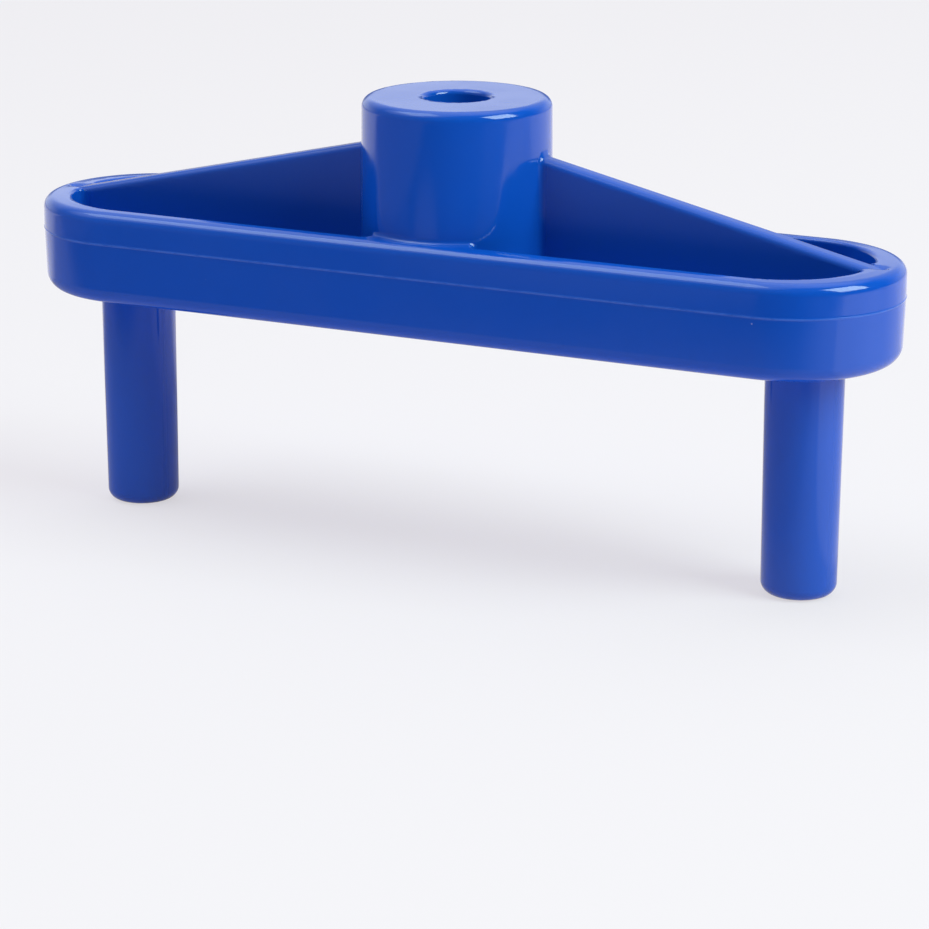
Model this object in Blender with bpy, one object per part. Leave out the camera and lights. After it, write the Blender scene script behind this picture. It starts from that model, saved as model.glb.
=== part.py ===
"""Center marking gauge, a one-piece blue plastic moulding.

A long open-topped frame with round ends stands on two round legs. A boss in the middle of the
frame guides a pencil through its bore, and a sloping web ties the boss to each end of the frame.

Metres, +Z up. +X runs along the frame and +Y to its back. The origin lies on the ground,
midway between the legs.
"""
import math

import bmesh
import bpy

# Legs
LEG_SPACING = 0.1071
LEG_HEIGHT = 0.0342
LEG_ROOT_DIAMETER = 0.0112
LEG_TIP_DIAMETER = 0.0108
LEG_TIP_ROUND = 0.0017
LEG_ROOT_FILLET = 0.0008

# Frame, whose ends and sides are taken at the parting line and whose walls are taken at the rim
FRAME_OVERHANG = 0.0135
FRAME_HEIGHT = 0.0137
PARTING_HEIGHT = 0.0092
PARTING_STEP = 0.00006
SIDE_WALL = 0.0031
END_WALL = 0.0046
FLOOR = 0.0028
UNDERSIDE_ROUND = 0.0023
RIM_OUTER_ROUND = 0.0015
RIM_INNER_ROUND = 0.0005
FLOOR_FILLET = 0.0010
LOWER_DRAFT = math.radians(1.5)
UPPER_DRAFT = math.radians(0.3)
CORE_DRAFT = math.radians(0.5)

# Boss, its diameter taken at the top, and the outer wall's distance from it on each side
BOSS_DIAMETER = 0.0273
BOSS_SETBACK = 0.0024
BOSS_RISE = 0.0189
BOSS_TOP_ROUND = 0.0014
BORE_DIAMETER = 0.0094
BORE_MOUTH_ROUND = 0.0007

# Webs, their thickness taken at the boss
WEB_THICKNESS = 0.0032
WEB_DROP = 0.0078
WEB_EDGE_ROUND = 0.0005

# Concave corner fillets inside the frame
WEB_BOSS_FILLET = 0.0007
BOSS_WALL_FILLET = 0.0011
WEB_END_FILLET = 0.0012

# How far each feature reaches into the one that carries it
SEAT = 0.0012

# Facets
END_STEPS = 30
ROUND_STEPS = 5
BOSS_STEPS = 72
LEG_STEPS = 32

# Heights and places that follow from the sizes above
UNDERSIDE_Z = LEG_HEIGHT
FLOOR_Z = UNDERSIDE_Z + FLOOR
PARTING_Z = UNDERSIDE_Z + PARTING_HEIGHT
RIM_Z = UNDERSIDE_Z + FRAME_HEIGHT
BOSS_TOP_Z = RIM_Z + BOSS_RISE
WEB_PEAK_Z = BOSS_TOP_Z - WEB_DROP
LEG_X = LEG_SPACING / 2
HALF_WIDTH = BOSS_DIAMETER / 2 + BOSS_SETBACK
END_CENTRE_X = LEG_X + FRAME_OVERHANG - HALF_WIDTH
POCKET_CENTRE_X = END_CENTRE_X + SIDE_WALL - END_WALL


def lower_wall(z):
    """Half width of the outer wall below the parting line."""
    return HALF_WIDTH - PARTING_STEP - (PARTING_Z - z) * math.tan(LOWER_DRAFT)


def upper_wall(z):
    """Half width of the outer wall above the parting line."""
    return HALF_WIDTH - (z - PARTING_Z) * math.tan(UPPER_DRAFT)


def pocket_wall(z):
    """Half width of the space inside the frame, which narrows downwards."""
    return HALF_WIDTH - SIDE_WALL - (RIM_Z - z) * math.tan(CORE_DRAFT)


def boss_radius(z):
    """Outer radius of the boss, which widens downwards."""
    return BOSS_DIAMETER / 2 + (BOSS_TOP_Z - z) * math.tan(CORE_DRAFT)


def web_half(z):
    """Half thickness of the webs, which widen downwards."""
    return WEB_THICKNESS / 2 + (WEB_PEAK_Z - z) * math.tan(CORE_DRAFT)


WEB_FOOT_X = BOSS_DIAMETER / 2
WEB_END_X = POCKET_CENTRE_X + pocket_wall(RIM_Z)
WEB_SLOPE = (WEB_PEAK_Z - RIM_Z) / (WEB_END_X - WEB_FOOT_X)


def web_top(x):
    """Height of the webs' top edge, which falls from the boss to the rim."""
    return WEB_PEAK_Z - (abs(x) - WEB_FOOT_X) * WEB_SLOPE


def arc(centre, radius, start, end, steps=ROUND_STEPS):
    """Points on an arc about centre, from the angle start to the angle end."""
    turns = [start + (end - start) * i / steps for i in range(steps + 1)]
    return [(centre[0] + radius * math.cos(a), centre[1] + radius * math.sin(a)) for a in turns]


def stadium(centre_x, half_width, z):
    """Closed outline with a round end about each centre, at one height."""
    right = arc((centre_x, 0), half_width, -math.pi / 2, math.pi / 2, END_STEPS)
    left = arc((-centre_x, 0), half_width, math.pi / 2, 3 * math.pi / 2, END_STEPS)
    return [(x, y, z) for x, y in right + left]


def skin(bm, loops):
    """Close a solid over loops of equal length, with a flat cap on the first and the last."""
    rings = [[bm.verts.new(point) for point in loop] for loop in loops]
    count = len(rings[0])
    for lower, upper in zip(rings, rings[1:]):
        for i in range(count):
            j = (i + 1) % count
            bm.faces.new((lower[i], lower[j], upper[j], upper[i]))
    bm.faces.new(list(reversed(rings[0])))
    bm.faces.new(rings[-1])


def turned(bm, profile, steps, x=0.0):
    """Spin a profile of radius and height, from bottom to top, about an upright axis at x."""
    verts = [bm.verts.new((x + radius, 0, z)) for radius, z in profile]
    edges = [bm.edges.new(pair) for pair in zip(verts, verts[1:])]
    bmesh.ops.spin(bm, geom=verts + edges, cent=(x, 0, 0), axis=(0, 0, 1), angle=2 * math.pi,
                   steps=steps, use_merge=True)
    for z in (profile[0][1], profile[-1][1]):
        rim = [e for e in bm.edges if e.is_boundary and all(abs(v.co.z - z) < 1e-7 for v in e.verts)]
        bmesh.ops.contextual_create(bm, geom=rim)


def add_object(name, bm, guide=True):
    """Turn a bmesh into an object. A guide only shapes the part and isn't shown."""
    bmesh.ops.recalc_face_normals(bm, faces=bm.faces)
    mesh = bpy.data.meshes.new(name)
    bm.to_mesh(mesh)
    bm.free()
    mesh.shade_smooth()
    mesh.set_sharp_from_angle(angle=math.radians(35))
    obj = bpy.data.objects.new(name, mesh)
    bpy.context.scene.collection.objects.link(obj)
    if guide:
        obj.hide_render = True
        obj.display_type = 'WIRE'
    return obj


def gloss_plastic():
    """Royal blue moulded plastic with a polished surface."""
    material = bpy.data.materials.new("blue_gloss_plastic")
    material.use_nodes = True
    shader = material.node_tree.nodes["Principled BSDF"]
    shader.inputs["Base Color"].default_value = (0.006, 0.045, 0.42, 1.0)
    shader.inputs["Roughness"].default_value = 0.18
    shader.inputs["Metallic"].default_value = 0.0
    shader.inputs["IOR"].default_value = 1.5
    return material


def frame():
    """Open-topped frame: a section of wall and floor carried round, with thicker end walls."""
    foot_z = UNDERSIDE_Z + UNDERSIDE_ROUND
    foot = (lower_wall(foot_z) - UNDERSIDE_ROUND / math.cos(LOWER_DRAFT), foot_z)
    shoulder_z = RIM_Z - RIM_OUTER_ROUND
    shoulder = (upper_wall(shoulder_z) - RIM_OUTER_ROUND / math.cos(UPPER_DRAFT), shoulder_z)
    lip_z = RIM_Z - RIM_INNER_ROUND
    lip = (pocket_wall(lip_z) + RIM_INNER_ROUND / math.cos(CORE_DRAFT), lip_z)
    corner_z = FLOOR_Z + FLOOR_FILLET
    corner = (pocket_wall(corner_z) - FLOOR_FILLET / math.cos(CORE_DRAFT), corner_z)

    outside = arc(foot, UNDERSIDE_ROUND, -math.pi / 2, -LOWER_DRAFT)
    outside += [(lower_wall(PARTING_Z), PARTING_Z), (upper_wall(PARTING_Z), PARTING_Z)]
    outside += arc(shoulder, RIM_OUTER_ROUND, UPPER_DRAFT, math.pi / 2)
    inside = arc(lip, RIM_INNER_ROUND, math.pi / 2, math.pi - CORE_DRAFT, 3)
    inside += arc(corner, FLOOR_FILLET, -CORE_DRAFT, -math.pi / 2, 3)

    bm = bmesh.new()
    loops = [stadium(END_CENTRE_X, half_width, z) for half_width, z in outside]
    skin(bm, loops + [stadium(POCKET_CENTRE_X, half_width, z) for half_width, z in inside])
    return add_object("gauge_body", bm, guide=False)


def boss():
    """Boss that stands on the floor of the frame, with a rounded top edge."""
    round_z = BOSS_TOP_Z - BOSS_TOP_ROUND
    centre = (boss_radius(round_z) - BOSS_TOP_ROUND / math.cos(CORE_DRAFT), round_z)
    foot_z = FLOOR_Z - SEAT
    bm = bmesh.new()
    profile = [(boss_radius(foot_z), foot_z)]
    profile += arc(centre, BOSS_TOP_ROUND, CORE_DRAFT, math.pi / 2)
    turned(bm, profile, BOSS_STEPS)
    return add_object("boss_guide", bm)


def bore():
    """Pencil bore through boss and floor, with a rounded mouth at each end."""
    radius = BORE_DIAMETER / 2
    mouth = radius + BORE_MOUTH_ROUND
    bottom = (mouth, UNDERSIDE_Z + BORE_MOUTH_ROUND)
    top = (mouth, BOSS_TOP_Z - BORE_MOUTH_ROUND)
    bm = bmesh.new()
    profile = [(mouth, UNDERSIDE_Z - SEAT)]
    profile += arc(bottom, BORE_MOUTH_ROUND, -math.pi / 2, -math.pi, 3)
    profile += arc(top, BORE_MOUTH_ROUND, math.pi, math.pi / 2, 3)
    profile += [(mouth, BOSS_TOP_Z + SEAT)]
    turned(bm, profile, BOSS_STEPS // 2)
    return add_object("bore_cutter", bm)


def legs():
    """Two tapered legs, rounded at the tip and flared where they meet the underside."""
    tip = LEG_TIP_DIAMETER / 2 - LEG_TIP_ROUND
    flare = LEG_ROOT_DIAMETER / 2 + LEG_ROOT_FILLET
    profile = arc((tip, LEG_TIP_ROUND), LEG_TIP_ROUND, -math.pi / 2, 0)
    root = arc((flare, UNDERSIDE_Z - LEG_ROOT_FILLET), LEG_ROOT_FILLET, math.pi, math.radians(95), 4)
    profile += root + [(root[-1][0], UNDERSIDE_Z + SEAT)]
    bm = bmesh.new()
    for side in (-1, 1):
        turned(bm, profile, LEG_STEPS, side * LEG_X)
    return add_object("leg_guide", bm)


def web_section(x):
    """Outline across a web at x: drafted faces, rounded top edges and a flat top."""
    top = web_top(x)
    foot_z = FLOOR_Z - SEAT
    centre = (web_half(top) - WEB_EDGE_ROUND, top - WEB_EDGE_ROUND)
    half = [(web_half(foot_z), foot_z)] + arc(centre, WEB_EDGE_ROUND, 0, math.pi / 2)
    other = [(-y, z) for y, z in reversed(half)]
    return [(x, y, z) for y, z in half + other]


def webs():
    """A sloping web on each side, from the middle of the boss wall to inside the end wall."""
    inner = (BORE_DIAMETER / 2 + WEB_FOOT_X) / 2
    outer = WEB_END_X + END_WALL / 3
    bm = bmesh.new()
    for side in (-1, 1):
        skin(bm, [web_section(side * inner), web_section(side * outer)])
    return add_object("web_guide", bm)


def fillet_column(bm, centre, radius, turns, corner, levels, mirror):
    """Upright blend in one inside corner.

    The hollow face is an arc about centre, between the two angles in turns. Its radius shrinks
    with the draft, and grows where the top edge is rounded. The back of the column reaches
    SEAT into the two walls that it joins, past their corner. Each level gives a height for the
    point at x, and how far the rounded edge has opened the arc there.
    """
    side_x, side_y = mirror
    loops = []
    for height, opening in levels:
        def lift(x, y):
            return (side_x * x, side_y * y, height(x))
        drafted = radius - (RIM_Z - height(centre[0])) * math.tan(CORE_DRAFT) + opening
        hollow = arc(centre, drafted, turns[0], turns[1], 4)
        reach = radius + SEAT
        back = [arc(centre, reach, turns[1], turns[1], 1)[0], corner,
                arc(centre, reach, turns[0], turns[0], 1)[0]]
        loops.append([lift(x, y) for x, y in hollow + back])
    skin(bm, loops)


def beyond(centre, corner):
    """The point SEAT further from the fillet's centre than the corner of the two walls."""
    reach = math.dist(centre, corner)
    scale = (reach + SEAT) / reach
    return (centre[0] + (corner[0] - centre[0]) * scale, centre[1] + (corner[1] - centre[1]) * scale)


def rounded_levels(top, edge_round):
    """Levels of a column from inside the floor to a rounded edge just under a top surface."""
    levels = [(lambda x: FLOOR_Z - SEAT, 0.0)]
    for angle in (0.0, 25.0, 50.0, 75.0):
        turn = math.radians(angle)
        drop = edge_round * (1 - math.sin(turn))
        levels.append((lambda x, drop=drop: top(x) - drop, edge_round * (1 - math.cos(turn))))
    return levels


def corner_fillets():
    """Blends where web meets boss, boss meets long wall, and web meets end wall."""
    boss_r = boss_radius(RIM_Z)
    half = web_half(RIM_Z)
    wall = pocket_wall(RIM_Z)
    bm = bmesh.new()
    for mirror in ((1, 1), (-1, 1), (-1, -1), (1, -1)):
        radius = WEB_BOSS_FILLET
        y = half + radius
        centre = (math.sqrt((boss_r + radius) ** 2 - y ** 2), y)
        turns = (-math.pi / 2, math.atan2(y, centre[0]) - math.pi)
        corner = beyond(centre, (math.sqrt(boss_r ** 2 - half ** 2), half))
        fillet_column(bm, centre, radius, turns, corner,
                      rounded_levels(web_top, WEB_EDGE_ROUND), mirror)

        radius = BOSS_WALL_FILLET
        y = wall - radius
        centre = (math.sqrt((boss_r + radius) ** 2 - y ** 2), y)
        turns = (math.pi / 2, math.atan2(y, centre[0]) + math.pi)
        corner = beyond(centre, (math.sqrt(boss_r ** 2 - wall ** 2), wall))
        fillet_column(bm, centre, radius, turns, corner,
                      rounded_levels(lambda x: RIM_Z, RIM_INNER_ROUND), mirror)

        radius = WEB_END_FILLET
        y = half + radius
        centre = (POCKET_CENTRE_X + math.sqrt((wall - radius) ** 2 - y ** 2), y)
        turns = (-math.pi / 2, math.atan2(y, centre[0] - POCKET_CENTRE_X))
        corner = beyond(centre, (POCKET_CENTRE_X + math.sqrt(wall ** 2 - half ** 2), half))
        fillet_column(bm, centre, radius, turns, corner,
                      rounded_levels(lambda x: RIM_Z, RIM_INNER_ROUND), mirror)
    return add_object("fillet_guide", bm)


def join(body, guide, operation):
    """Add a guide to the body, or cut it away."""
    modifier = body.modifiers.new(guide.name, 'BOOLEAN')
    modifier.operation = operation
    modifier.solver = 'EXACT'
    modifier.object = guide


for old in list(bpy.data.objects):
    bpy.data.objects.remove(old, do_unlink=True)

gauge_body = frame()
gauge_body.data.materials.append(gloss_plastic())
for feature in (boss(), legs(), webs(), corner_fillets()):
    join(gauge_body, feature, 'UNION')
join(gauge_body, bore(), 'DIFFERENCE')
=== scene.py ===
import math

import bpy
import numpy as np
from mathutils import Matrix, Vector


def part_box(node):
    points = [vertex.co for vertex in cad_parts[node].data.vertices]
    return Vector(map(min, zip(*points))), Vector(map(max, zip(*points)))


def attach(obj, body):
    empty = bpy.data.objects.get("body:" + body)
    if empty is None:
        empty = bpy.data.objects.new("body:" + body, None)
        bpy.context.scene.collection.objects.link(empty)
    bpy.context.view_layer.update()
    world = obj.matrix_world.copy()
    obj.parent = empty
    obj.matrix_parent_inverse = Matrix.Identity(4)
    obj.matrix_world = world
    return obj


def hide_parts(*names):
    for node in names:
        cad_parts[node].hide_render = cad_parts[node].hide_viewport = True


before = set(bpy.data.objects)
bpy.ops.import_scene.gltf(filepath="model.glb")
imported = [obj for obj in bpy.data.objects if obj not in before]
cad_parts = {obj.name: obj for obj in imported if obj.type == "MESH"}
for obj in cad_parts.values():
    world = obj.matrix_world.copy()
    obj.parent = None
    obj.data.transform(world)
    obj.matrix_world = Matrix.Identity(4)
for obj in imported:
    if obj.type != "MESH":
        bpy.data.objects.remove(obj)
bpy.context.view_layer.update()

MM = 0.001

# The frame is an open-topped trough with round ends, moulded in one shot with everything else on
# the gauge, in polished royal blue plastic. Its walls lean in from the parting line, where the two
# halves of the mould met and left a fine raised line.
far_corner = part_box("gauge_body")[1] / MM
half_length = far_corner.x
half_width = far_corner.y
boss_top_z = far_corner.z
underside_z = 34.2
frame_height = 13.96
parting_height = 9.2
floor_thickness = 2.8
rim_z = underside_z + frame_height
parting_z = underside_z + parting_height
floor_z = underside_z + floor_thickness
side_wall = 3.1
end_wall = 4.6
underside_round = 2.3
rim_outer_round = 1.5
rim_inner_round = 0.5
floor_fillet = 1.0
lower_draft = math.radians(1.5)
upper_draft = math.radians(0.3)
core_draft = math.radians(0.5)
end_centre_x = half_length - half_width
pocket_centre_x = end_centre_x + side_wall - end_wall
pocket_half_width = half_width - side_wall
parting_step = 0.03
parting_ridge = 0.06
parting_ridge_width = 0.13
rim_lean = 0.05
sink_depth = 0.55
sink_x = 63.2
sink_length = 1.5
sink_width = 0.7


def round_over(first, second, radius):
    """Distance to what two solids share, with a round of this radius where their faces meet."""
    corner = np.hypot(np.maximum(first + radius, 0), np.maximum(second + radius, 0))
    return np.minimum(np.maximum(first, second), -radius) + corner


def blend_in(first, second, radius):
    """Distance to two solids joined, with a concave fillet of this radius between their faces."""
    corner = np.hypot(np.maximum(radius - first, 0), np.maximum(radius - second, 0))
    return np.maximum(np.minimum(first, second), radius) - corner


def outer_side(x, y, z):
    """Distance to the outer walls: their half width is a function of height.

    The distance from the line that joins the two end centres turns the section round each end.
    """
    across = np.hypot(np.maximum(np.abs(x) - end_centre_x, 0), y)
    below = half_width - parting_ridge - parting_step - (parting_z - z) * math.tan(lower_draft)
    above = half_width - parting_ridge - (z - parting_z) * math.tan(upper_draft)
    ridge = parting_ridge * np.exp(-((z - parting_z) / parting_ridge_width) ** 2)
    return across - np.where(z < parting_z, below, above) - ridge


def above_rim(x, y, z):
    """Height above the top of the rim, which falls a little from its inner edge to its outer."""
    return z - rim_z + rim_lean * np.clip(outer_side(x, y, z) + side_wall, 0, side_wall)


def block_distance(x, y, z):
    """Distance to the frame before it is hollowed, with a shallow sink mark at each end."""
    sink = sink_depth * np.exp(-((np.abs(x) - sink_x) / sink_length) ** 4 - (y / sink_width) ** 2)
    block = round_over(outer_side(x, y, z), above_rim(x, y, z) + sink, rim_outer_round)
    return round_over(block, underside_z - z, underside_round)


# The boss is a thick upright cylinder that stands on the floor of the trough and overlaps its long
# walls. Its straight bore guides the marking point, and the moulding pin rounds both its mouths.
boss_radius = 13.65
boss_top_round = 1.4
bore_radius = 4.7
bore_mouth_round = 0.7
seat = 1.2


def boss_side(x, y, z):
    """Distance to the side of an upright cylinder that widens downwards."""
    return np.hypot(x, y) - boss_radius - (boss_top_z - z) * math.tan(core_draft)


def boss_distance(x, y, z):
    """Distance to the boss: its side, under a top with a rounded edge."""
    capped = round_over(boss_side(x, y, z), z - boss_top_z, boss_top_round)
    return np.maximum(capped, floor_z - seat - z)


# Two webs stand on the middle line of the trough and slope from high on the boss down to the rim.
# They are moulded with the rest, drafted towards the top, and their top edges are rounded.
web_thickness = 3.2
web_drop = 7.55
web_peak_z = boss_top_z - web_drop
web_edge_round = 1.0
web_end_x = pocket_centre_x + pocket_half_width
web_reach = end_wall / 3
web_slope = (web_peak_z - rim_z) / (web_end_x - boss_radius)


def web_half(z):
    """Half thickness of a web, which widens downwards."""
    return web_thickness / 2 + (web_peak_z - z) * math.tan(core_draft)


def web_distance(x, y, z):
    """Distance to a drafted plate on the middle line, under a top that falls with |x|."""
    top = web_peak_z - (np.abs(x) - boss_radius) * web_slope
    above_top = (z - top) * math.cos(math.atan(web_slope))
    capped = round_over(np.abs(y) - web_half(z), above_top, web_edge_round)
    ends = np.maximum(np.abs(x) - web_end_x - web_reach, floor_z - seat - z)
    return np.maximum(capped, ends)


# Four pockets are left between the boss, the webs and the walls. The core that forms them has
# rounded corners, so upright fillets run down every corner, and softer ones run round the floor.
boss_wall_fillet = 1.1
web_boss_fillet = 0.7
web_end_fillet = 1.2
boss_foot_fillet = 0.55
foot_margin = 0.1
rim_boss_radius = boss_radius + (boss_top_z - rim_z) * math.tan(core_draft)


def boss_wall_corner():
    """Centre of the fillet that touches the boss and the long wall, and the ways to them."""
    reach, along = rim_boss_radius + boss_wall_fillet, pocket_half_width - boss_wall_fillet
    offset = math.sqrt(reach ** 2 - along ** 2)
    return (offset, along), (0.0, 1.0), (-offset, -along), boss_wall_fillet


def web_boss_corner():
    """Centre of the fillet that touches the boss and the web, and the ways to them."""
    reach, along = rim_boss_radius + web_boss_fillet, web_half(rim_z) + web_boss_fillet
    offset = math.sqrt(reach ** 2 - along ** 2)
    return (offset, along), (-offset, -along), (0.0, -1.0), web_boss_fillet


def web_end_corner():
    """Centre of the fillet that touches the web and the end wall, and the ways to them."""
    reach, along = pocket_half_width - web_end_fillet, web_half(rim_z) + web_end_fillet
    offset = math.sqrt(reach ** 2 - along ** 2)
    return (pocket_centre_x + offset, along), (0.0, -1.0), (offset, along), web_end_fillet


def pocket_plan(x, y):
    """Distance in plan to the pockets at the rim, the same in all four quarters.

    Beyond a fillet's centre, between the ways to the two faces it touches, the distance is that
    to its arc.
    """
    x, y = np.abs(x), np.abs(y)
    across = np.hypot(np.maximum(x - pocket_centre_x, 0), y)
    plan = np.maximum(across - pocket_half_width, rim_boss_radius - np.hypot(x, y))
    plan = np.maximum(plan, web_half(rim_z) - y)
    for centre, first, second, radius in (boss_wall_corner(), web_boss_corner(), web_end_corner()):
        from_x, from_y = x - centre[0], y - centre[1]
        after_first = first[0] * from_y - first[1] * from_x > 0
        before_second = from_x * second[1] - from_y * second[0] > 0
        plan = np.where(after_first & before_second, np.hypot(from_x, from_y) - radius, plan)
    return plan


def boss_foot(x, y, z, plan):
    """Distance to the fillet where the boss stands on the rim, kept clear of the outer round."""
    foot = blend_in(above_rim(x, y, z), boss_side(x, y, z), boss_foot_fillet)
    foot = np.maximum(round_over(foot, -plan, rim_inner_round), floor_z - z)
    foot = np.maximum(foot, outer_side(x, y, z) + rim_outer_round + foot_margin)
    reach = np.maximum(boss_side(x, y, z), z - rim_z) - 2 * boss_foot_fillet
    return np.maximum(foot, reach)


def trough_distance(x, y, z):
    """Distance to the frame, hollowed round the boss and the webs.

    Every face of the pockets leans by the same draft, so the plan at the rim shifts evenly. What
    the hollowing leaves beside the rounded tops of the webs, above the floor, is cut away too.
    """
    plan = pocket_plan(x, y) + (rim_z - z) * math.tan(core_draft)
    pocket = round_over(plan, floor_z - z, floor_fillet)
    hollowed = round_over(block_distance(x, y, z), -pocket, rim_inner_round)
    web = web_distance(x, y, z)
    beside = np.maximum(np.abs(x) - web_end_x, np.abs(y) - web_half(z))
    beside = np.maximum(beside, floor_z - z)
    hollowed = np.maximum(hollowed, -np.maximum(beside, -web))
    spine = blend_in(boss_distance(x, y, z), web, web_boss_fillet)
    return np.minimum(np.minimum(hollowed, spine), boss_foot(x, y, z, plan))


# The legs are solid round pins that straddle the work. They taper a little for the mould, have
# rounded tips, and flare where they leave the underside.
leg_x = 53.55
leg_root_radius = 5.6
leg_tip_radius = 5.4
leg_tip_round = 1.7
leg_root_fillet = 0.8


def leg_distance(x, y, z):
    """Distance to an upright pin at each end, whose radius grows evenly from tip to root."""
    radius = leg_tip_radius + (leg_root_radius - leg_tip_radius) * z / underside_z
    side = np.hypot(np.abs(x) - leg_x, y) - radius
    tip = round_over(side, -z, leg_tip_round)
    return np.maximum(tip, z - underside_z - seat)


# All of it is one moulding, so one skin covers it. The skin lies where the distance to the whole
# is nought, and its points come from a grid in millimetres.
def gauge_distance(x, y, z):
    """Distance to the whole moulding, less than zero inside the plastic."""
    body = blend_in(trough_distance(x, y, z), leg_distance(x, y, z), leg_root_fillet)
    return round_over(body, bore_radius - np.hypot(x, y), bore_mouth_round)


def slope_of(distance, points, step=0.01):
    """Gradient of a distance at points, from its change over a small step each way."""
    columns = []
    for axis in range(3):
        shift = np.zeros(3)
        shift[axis] = step
        ahead = distance(*(points + shift).T)
        behind = distance(*(points - shift).T)
        columns.append((ahead - behind) / (2 * step))
    return np.stack(columns, axis=1)


def grid_lines(stretches):
    """Grid lines over stretches given as (start, end, spacing)."""
    runs = [np.linspace(a, b, round((b - a) / gap) + 1)[:-1] for a, b, gap in stretches]
    return np.concatenate(runs + [[stretches[-1][1]]])


def both_sides(stretches):
    """Grid lines for one side, mirrored to the other."""
    half = grid_lines(stretches)
    return np.concatenate([-half[:0:-1], half])


def cell_points(mesh_grid, values):
    """One point for each cell of a grid that the surface crosses, and which cells those are.

    The point is the mean of where the surface crosses the cell's edges.
    """
    inside = values < 0
    shape = tuple(n - 1 for n in values.shape)
    total = np.zeros(shape + (3,))
    crossings = np.zeros(shape)
    for axis in range(3):
        lower = [slice(None)] * 3
        upper = [slice(None)] * 3
        lower[axis] = slice(None, -1)
        upper[axis] = slice(1, None)
        lower, upper = tuple(lower), tuple(upper)
        crossed = inside[lower] != inside[upper]
        gap = values[lower] - values[upper]
        share = np.where(crossed, values[lower] / np.where(crossed, gap, 1), 0)
        spots = [grid[lower] + share * (grid[upper] - grid[lower]) for grid in mesh_grid]
        spots = np.stack(spots, axis=-1) * crossed[..., None]
        others = [a for a in range(3) if a != axis]
        for first in (0, 1):
            for second in (0, 1):
                pick = [slice(None)] * 3
                pick[others[0]] = slice(first, first + shape[others[0]])
                pick[others[1]] = slice(second, second + shape[others[1]])
                total += spots[tuple(pick)]
                crossings += crossed[tuple(pick)]
    live = crossings > 0
    return total[live] / crossings[live][:, None], live


def edge_faces(inside, number):
    """A face for each grid edge that the surface crosses, wound to point out of the solid.

    It joins the points of the four cells round that edge, each cell's point given by its number.
    """
    faces = []
    for axis in range(3):
        lower = [slice(1, -1)] * 3
        upper = [slice(1, -1)] * 3
        lower[axis] = slice(None, -1)
        upper[axis] = slice(1, None)
        crossed = inside[tuple(lower)] != inside[tuple(upper)]
        leaving = inside[tuple(lower)][crossed]
        spot = np.argwhere(crossed)
        one, two = (axis + 1) % 3, (axis + 2) % 3
        ring = []
        for step_one, step_two in ((0, 0), (1, 0), (1, 1), (0, 1)):
            cell = spot.copy()
            cell[:, one] += step_one
            cell[:, two] += step_two
            ring.append(number[cell[:, 0], cell[:, 1], cell[:, 2]])
        ring = np.stack(ring, axis=1)
        ring[~leaving] = ring[~leaving][:, ::-1]
        faces.append(ring)
    return np.concatenate(faces)


def skin_of(distance, lines):
    """Closed skin of four-sided faces over the surface where a distance is zero.

    The points of its cells are moved onto the surface along the distance's gradient.
    """
    mesh_grid = np.meshgrid(*lines, indexing="ij")
    values = distance(*mesh_grid)
    points, live = cell_points(mesh_grid, values)
    number = np.full(live.shape, -1)
    number[live] = np.arange(live.sum())
    for _ in range(4):
        slope = slope_of(distance, points)
        size = (slope ** 2).sum(axis=1)
        points = points - slope * (distance(*points.T) / size)[:, None]
    return points, edge_faces(values < 0, number)


# The grid is finest where the form turns most: at the boss, the legs and both ends along it, at
# the webs and the long walls across it, and at the tips, the floor, the parting line, the rim and
# the boss's top on the way up.
boss_x = boss_radius + 2.35
leg_side_x = leg_x - 7.55
pocket_end_x = web_end_x - 1.45
past_end_x = half_length + 0.45
web_side_y = 0.75 * web_thickness
wall_side_y = pocket_half_width - 2.15
past_side_y = half_width + 0.35
below_tip_z, above_tip_z = -0.3, 2.1
below_frame_z, above_floor_z = underside_z - 1.2, floor_z + 1.1
below_line_z, above_line_z = parting_z - 0.4, parting_z + 0.5
below_rim_z, above_rim_z = rim_z - 2.06, rim_z + 0.54
above_peak_z = web_peak_z + 0.45
below_top_z, above_top_z = boss_top_z - 1.7, boss_top_z + 0.3
x_lines = both_sides([(0, boss_x, 0.47), (boss_x, leg_side_x, 2.1),
                      (leg_side_x, pocket_end_x, 0.6), (pocket_end_x, past_end_x, 0.34)])
y_lines = both_sides([(0, web_side_y, 0.2), (web_side_y, wall_side_y, 0.6),
                      (wall_side_y, past_side_y, 0.27)])
z_lines = grid_lines([(below_tip_z, above_tip_z, 0.3), (above_tip_z, below_frame_z, 2.4),
                      (below_frame_z, above_floor_z, 0.34), (above_floor_z, below_line_z, 1.2),
                      (below_line_z, above_line_z, 0.075), (above_line_z, below_rim_z, 0.7),
                      (below_rim_z, above_rim_z, 0.2), (above_rim_z, above_peak_z, 0.61),
                      (above_peak_z, below_top_z, 1.1), (below_top_z, above_top_z, 0.22)])
points, faces = skin_of(gauge_distance, (x_lines, y_lines, z_lines))
moulding_mesh = bpy.data.meshes.new("gauge_moulding")
moulding_mesh.from_pydata(points * MM, [], faces)
moulding_mesh.shade_smooth()
normals = slope_of(gauge_distance, points)
normals /= np.linalg.norm(normals, axis=1)[:, None]
moulding_mesh.normals_split_custom_set_from_vertices(normals)
moulding = bpy.data.objects.new("gauge_moulding", moulding_mesh)
bpy.context.scene.collection.objects.link(moulding)


def node(tree, kind, settings, inputs):
    """A new shader node. An input given as another node's output is linked, a value is set."""
    new = tree.nodes.new(kind)
    for name, value in settings.items():
        setattr(new, name, value)
    for name, value in inputs.items():
        if isinstance(value, bpy.types.NodeSocket):
            tree.links.new(value, new.inputs[name])
        else:
            new.inputs[name].default_value = value
    return new


def maths(tree, operation, first, second=0.0):
    """One value worked out from two."""
    return node(tree, "ShaderNodeMath", {"operation": operation}, {0: first, 1: second}).outputs[0]


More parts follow.
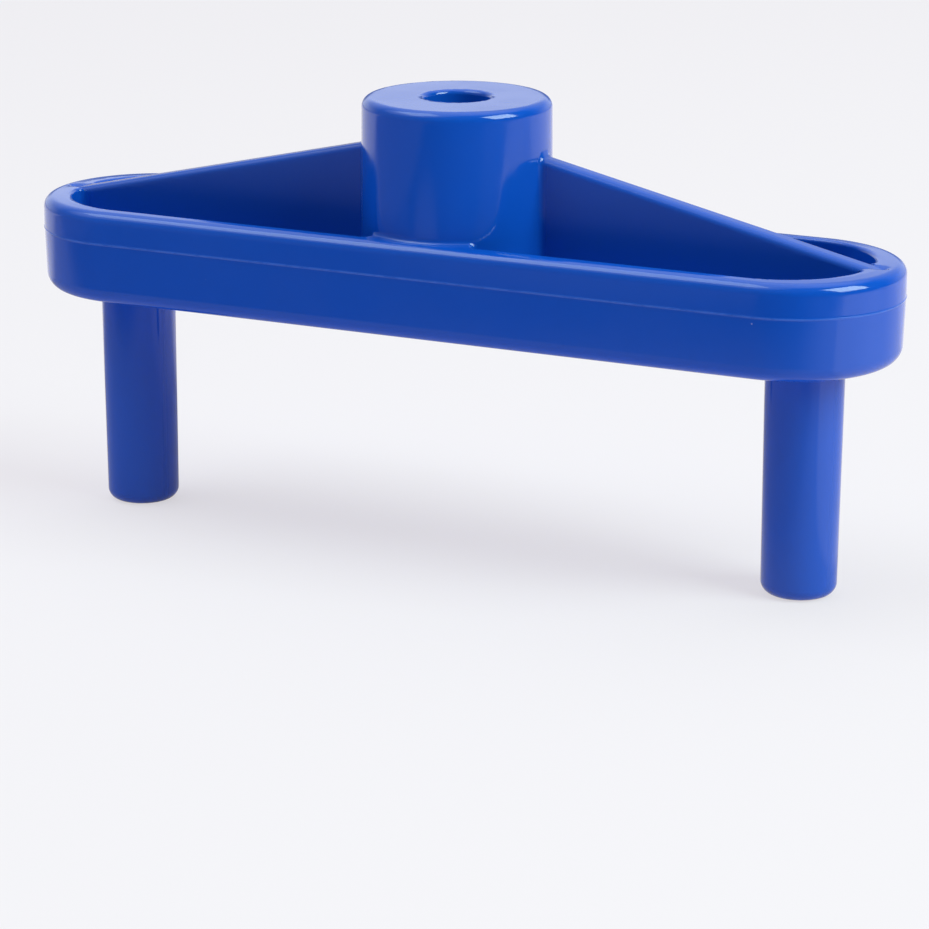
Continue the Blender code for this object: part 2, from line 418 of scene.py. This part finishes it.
def product(tree, *factors):
    """The product of several values."""
    total = factors[0]
    for factor in factors[1:]:
        total = maths(tree, "MULTIPLY", total, factor)
    return total


def step(tree, value, start, end, low, high):
    """A smooth step from low to high as a value goes from start to end."""
    inputs = {"Value": value, "From Min": start, "From Max": end, "To Min": low, "To Max": high}
    smooth = node(tree, "ShaderNodeMapRange", {"interpolation_type": "SMOOTHSTEP"}, inputs)
    return smooth.outputs["Result"]


def choose(tree, factor, off, on):
    """A value that goes from one to another with the factor."""
    return node(tree, "ShaderNodeMix", {"data_type": "FLOAT"}, {0: factor, 2: off, 3: on}).outputs[0]


def blend(tree, factor, off, on):
    """A colour that goes from one to another with the factor."""
    return node(tree, "ShaderNodeMix", {"data_type": "RGBA"}, {0: factor, 6: off, 7: on}).outputs[2]


# The plastic is dyed right through and polished by the mould. Its gloss is faintly uneven, as a
# moulding's is, and duller on the faces of the webs. The parting line is painted a paler blue, a
# painted highlight for the light its raised ridge catches, and there are a few specks of dust.
deep_blue = (0.004, 0.078, 0.495, 1)
royal_blue = (0.004, 0.084, 0.525, 1)
line_highlight_blue = (0.030, 0.130, 0.60, 1)
dust_white = (0.30, 0.38, 0.62, 1)
web_dullness = 0.32
line_dullness = 0.25
dust_dullness = 0.8
speck_radius = 0.07
specks = ((-32.7, 40.0), (-20.8, 39.3), (20.4, 39.6), (51.3, 42.5), (-54.7, 43.4))
plastic = bpy.data.materials.new("royal_blue_plastic")
plastic.use_nodes = True
tree = plastic.node_tree
place = node(tree, "ShaderNodeTexCoord", {}, {}).outputs["Object"]
spread = node(tree, "ShaderNodeSeparateXYZ", {}, {"Vector": place}).outputs
height = spread["Z"]


def mottle(scale, detail):
    """Cloudy unevenness about 0.5, with this many patches to a metre."""
    inputs = {"Vector": place, "Scale": scale, "Detail": detail, "Roughness": 0.55}
    return node(tree, "ShaderNodeTexNoise", {}, inputs).outputs["Fac"]


# The parting line's paler blue is a painted highlight for the light its ridge catches. The same band
# also sets its duller gloss.
line_off = maths(tree, "ABSOLUTE", maths(tree, "SUBTRACT", height, parting_z * MM))
line_here = step(tree, line_off, 0.08 * MM, 0.20 * MM, 1.0, 0.0)
line_here = maths(tree, "MULTIPLY", line_here, step(tree, mottle(300, 3), 0.35, 0.55, 0.45, 1.0))
dust_here = 0.0
for speck_x, speck_z in specks:
    spot = (speck_x * MM, -half_width * MM, speck_z * MM)
    off = node(tree, "ShaderNodeVectorMath", {"operation": "DISTANCE"}, {0: place, 1: spot})
    near = step(tree, off.outputs["Value"], speck_radius * MM, 3 * speck_radius * MM, 1.0, 0.0)
    dust_here = maths(tree, "MAXIMUM", near, dust_here)
blue = blend(tree, mottle(60, 2), deep_blue, royal_blue)
blue = blend(tree, line_here, blue, line_highlight_blue)
blue = blend(tree, dust_here, blue, dust_white)
gloss = step(tree, mottle(90, 4), 0.3, 0.7, 0.05, 0.11)
reach = maths(tree, "ABSOLUTE", spread["X"])
aside = maths(tree, "ABSOLUTE", spread["Y"])
web_here = product(tree, step(tree, aside, 1.35 * MM, 1.6 * MM, 0.0, 1.0),
                   step(tree, aside, 2.0 * MM, 2.4 * MM, 1.0, 0.0),
                   step(tree, reach, 14.2 * MM, 15.0 * MM, 0.0, 1.0),
                   step(tree, reach, 60.0 * MM, 62.0 * MM, 1.0, 0.0))
gloss = choose(tree, web_here, gloss, web_dullness)
gloss = choose(tree, line_here, gloss, line_dullness)
gloss = choose(tree, dust_here, gloss, dust_dullness)
swell = node(tree, "ShaderNodeBump", {}, {"Height": mottle(140, 2), "Distance": 0.012 * MM})
ripple = {"Height": mottle(1100, 2), "Distance": 0.0008 * MM, "Normal": swell.outputs["Normal"]}
ripple = node(tree, "ShaderNodeBump", {}, ripple).outputs["Normal"]
shader = tree.nodes["Principled BSDF"]
tree.links.new(blue, shader.inputs["Base Color"])
tree.links.new(gloss, shader.inputs["Roughness"])
tree.links.new(ripple, shader.inputs["Normal"])
shader.inputs["IOR"].default_value = 1.5
moulding_mesh.materials.append(plastic)
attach(moulding, "root")
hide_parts("gauge_body")

# The camera stands where the photograph was taken from, to the right of the front, and a little
# above the gauge. Its turn, drop and roll are the view's own.
view_turn = 0.43850
view_drop = 0.29005
view_roll = 0.00146
camera_place = Vector((0.20058, -0.42504, 0.15221))
focal_pixels = 3329.3
photo_pixels = 929
toward_camera = Vector((math.sin(view_turn), -math.cos(view_turn), 0))
camera_right = Vector((math.cos(view_turn), math.sin(view_turn), 0))
camera_up = Vector((0, 0, 1))
camera_data = bpy.data.cameras.new("camera")
camera_data.sensor_width = 36
camera_data.lens = focal_pixels / photo_pixels * camera_data.sensor_width
camera_data.clip_start = 0.01
camera = bpy.data.objects.new("camera", camera_data)
bpy.context.scene.collection.objects.link(camera)
turn = Matrix.Rotation(view_turn, 4, "Z") @ Matrix.Rotation(math.pi / 2 - view_drop, 4, "X")
turn = turn @ Matrix.Rotation(view_roll, 4, "Z")
camera.matrix_world = Matrix.Translation(camera_place) @ turn
bpy.context.scene.camera = camera
bpy.context.scene.view_settings.view_transform = "Standard"

# The stage is a plain pale floor with the gauge's soft shadow. The camera sees it near white. The
# gloss sees a painted reflection instead: the floor glows, pale to the right and at the back, grey
# near the gauge, and dark in front. For the light it bounces onto the gauge it is painted paler
# near the gauge and to the right.
floor_size = 8.0
floor_white = 0.25
floor_glow = 0.62
bpy.ops.mesh.primitive_plane_add(size=floor_size)
floor = bpy.context.object
floor.name = "floor"
floor_paint = bpy.data.materials.new("floor_paint")
floor_paint.use_nodes = True
tree = floor_paint.node_tree
place = node(tree, "ShaderNodeTexCoord", {}, {}).outputs["Object"]
ray = node(tree, "ShaderNodeLightPath", {}, {}).outputs


def along(tree, source, direction):
    """How far a point or a ray reaches along a direction."""
    settings = {"operation": "DOT_PRODUCT"}
    return node(tree, "ShaderNodeVectorMath", settings, {0: source, 1: direction}).outputs["Value"]


def away_from(right, front):
    """How far a point of the floor lies from a place given to the right and toward the camera."""
    centre = camera_right * right + toward_camera * front
    settings = {"operation": "DISTANCE"}
    return node(tree, "ShaderNodeVectorMath", settings, {0: place, 1: centre}).outputs["Value"]


def brightest(tree, *values):
    """The greatest of several values."""
    total = values[0]
    for value in values[1:]:
        total = maths(tree, "MAXIMUM", total, value)
    return total


# The floor in the plastic's mirror is a painted reflection: a glow that only glossy and transmission
# rays see, with white as 1. Each step is a soft edge: where it starts and ends, in metres over the
# floor, and how bright the floor is on either side.
front = along(tree, place, toward_camera)
right = along(tree, place, camera_right)
front_left = along(tree, place, toward_camera * 0.77 - camera_right * 0.64)
back = along(tree, place, toward_camera - camera_right * 0.15)
near_grey = product(tree, step(tree, front_left, 0.095, 0.145, 0.44, 0.13),
                    step(tree, front, 0.12, 0.17, 1.0, 0.3))
far_left = step(tree, right, -0.22, -0.27, 0.0, 0.25)
pale_patch = step(tree, away_from(-0.15, 0.20), 0.04, 0.09, 0.27, 0.0)
ramp_right = product(tree, step(tree, away_from(0.269, -0.031), 0.33, 0.215, 0.0, 0.7),
                     step(tree, front, 0.165, 0.20, 1.0, 0.0))
pale_right = product(tree, step(tree, away_from(0.269, -0.031), 0.224, 0.204, 0.0, 1.0),
                     step(tree, front, -0.01, 0.06, 0.90, 1.22),
                     step(tree, right, 0.24, 0.34, 1.0, 0.66))
pale_back = step(tree, back, -0.04, -0.12, 0.0, 1.05)
# The painted reflection glow is the brightest of these patches, dimmer far from the gauge.
mirrored = brightest(tree, near_grey, far_left, pale_patch, ramp_right, pale_right, pale_back)
mirrored = product(tree, mirrored, step(tree, away_from(0, 0), 0.6, 1.2, 1.0, 0.5))
# Painted bounce light: the floor's colour for bounced rays is paler near the gauge and to the right.
painted_bounce_white = brightest(tree, step(tree, away_from(0, 0), 0.06, 0.20, 0.84, 0.64),
                          step(tree, right, 0.02, 0.14, 0.0, 0.98))
by_camera = ray["Is Camera Ray"]
by_gloss = maths(tree, "MAXIMUM", ray["Is Glossy Ray"], ray["Is Transmission Ray"])
white = choose(tree, by_camera, choose(tree, by_gloss, painted_bounce_white, 0.0), floor_white)
glow = choose(tree, by_camera, choose(tree, by_gloss, 0.0, mirrored), floor_glow)
green = product(tree, white, choose(tree, by_camera, 0.82, 0.92))
grey = node(tree, "ShaderNodeCombineColor", {}, {"Red": white, "Green": green, "Blue": white})
floor_shader = tree.nodes["Principled BSDF"]
tree.links.new(grey.outputs["Color"], floor_shader.inputs["Base Color"])
tree.links.new(glow, floor_shader.inputs["Emission Strength"])
floor_shader.inputs["Emission Color"].default_value = (1.0, 0.975, 1.0, 1)
floor_shader.inputs["Roughness"].default_value = 0.9
floor_shader.inputs["Specular IOR Level"].default_value = 0.0
floor.data.materials.append(floor_paint)

# The studio has a white wall behind the gauge and a pale ceiling over that, and is dim in front,
# so the plastic mirrors pale edges and keeps deep blue faces.
studio = bpy.data.worlds.new("studio")
bpy.context.scene.world = studio
studio.use_nodes = True
tree = studio.node_tree
way = node(tree, "ShaderNodeTexCoord", {}, {}).outputs["Generated"]

# The studio in the plastic's mirror, with white as 1. A step's ends are cosines of the angle
# between where a mirrored ray goes and a direction.
upward = along(tree, way, camera_up)
horizon = product(tree, step(tree, along(tree, way, -toward_camera), 0.93, 0.985, 0.0, 0.8),
                  step(tree, upward, 0.12, 0.18, 1.0, 0.0))
wall = product(tree, step(tree, along(tree, way, -toward_camera), 0.15, 0.85, 0.0, 1.15),
               step(tree, along(tree, way, camera_right), -0.15, 0.15, 1.0, 0.8),
               step(tree, upward, 0.20, 0.40, 1.0, 0.68), maths(tree, "SUBTRACT", 1.0, horizon),
               step(tree, upward, 0.70, 0.95, 1.0, 0.0))
left_wall = step(tree, along(tree, way, -camera_right), 0.3, 1.0, 0.0, 0.3)
over_left = along(tree, way, (camera_up * 0.88 - camera_right * 0.47).normalized())
over_back = along(tree, way, (camera_up * 0.94 - toward_camera * 0.34).normalized())
halo = maths(tree, "ADD", step(tree, over_left, 0.78, 1.0, 0.0, 1.3),
             step(tree, over_left, 0.3, 0.7, 0.03, 0.15))
room = brightest(tree, wall, left_wall, halo, step(tree, over_back, 0.74, 0.97, 0.0, 1.3))
seen = node(tree, "ShaderNodeLightPath", {}, {}).outputs["Is Camera Ray"]
sky = tree.nodes["Background"]
sky.inputs["Color"].default_value = (0.95, 1.0, 1.04, 1)
tree.links.new(choose(tree, seen, room, 0.92), sky.inputs["Strength"])

# Two softboxes light the gauge: the key from the front right, halfway up, and a broader one nearly
# overhead on the left. Each is given by its direction, its width and height as seen from the gauge
# in degrees, and its brightness, where white is 1.
softbox_distance = 1.6


def softbox(name, direction, width, height, brightness, tint):
    """A lit rectangle that faces the gauge. Its power is brightness times pi times its area."""
    lamp = bpy.data.lights.new(name, "AREA")
    lamp.shape = "RECTANGLE"
    lamp.size = 2 * softbox_distance * math.tan(math.radians(width) / 2)
    lamp.size_y = 2 * softbox_distance * math.tan(math.radians(height) / 2)
    lamp.energy = brightness * math.pi * lamp.size * lamp.size_y
    lamp.color = tint
    holder = bpy.data.objects.new(name, lamp)
    bpy.context.scene.collection.objects.link(holder)
    right, front, up = direction
    way_out = (camera_right * right + toward_camera * front + camera_up * up).normalized()
    middle = Vector((0, 0, boss_top_z / 2 * MM))
    holder.location = middle + way_out * softbox_distance
    holder.rotation_euler = (-way_out).to_track_quat("-Z", "Y").to_euler()


softbox("key_right", (0.70, 0.36, 0.62), 32, 34, 8.0, (0.93, 1.16, 1.02))
softbox("fill_left", (-0.45, 0.0, 0.89), 34, 26, 2.2, (0.88, 1.08, 1.06))
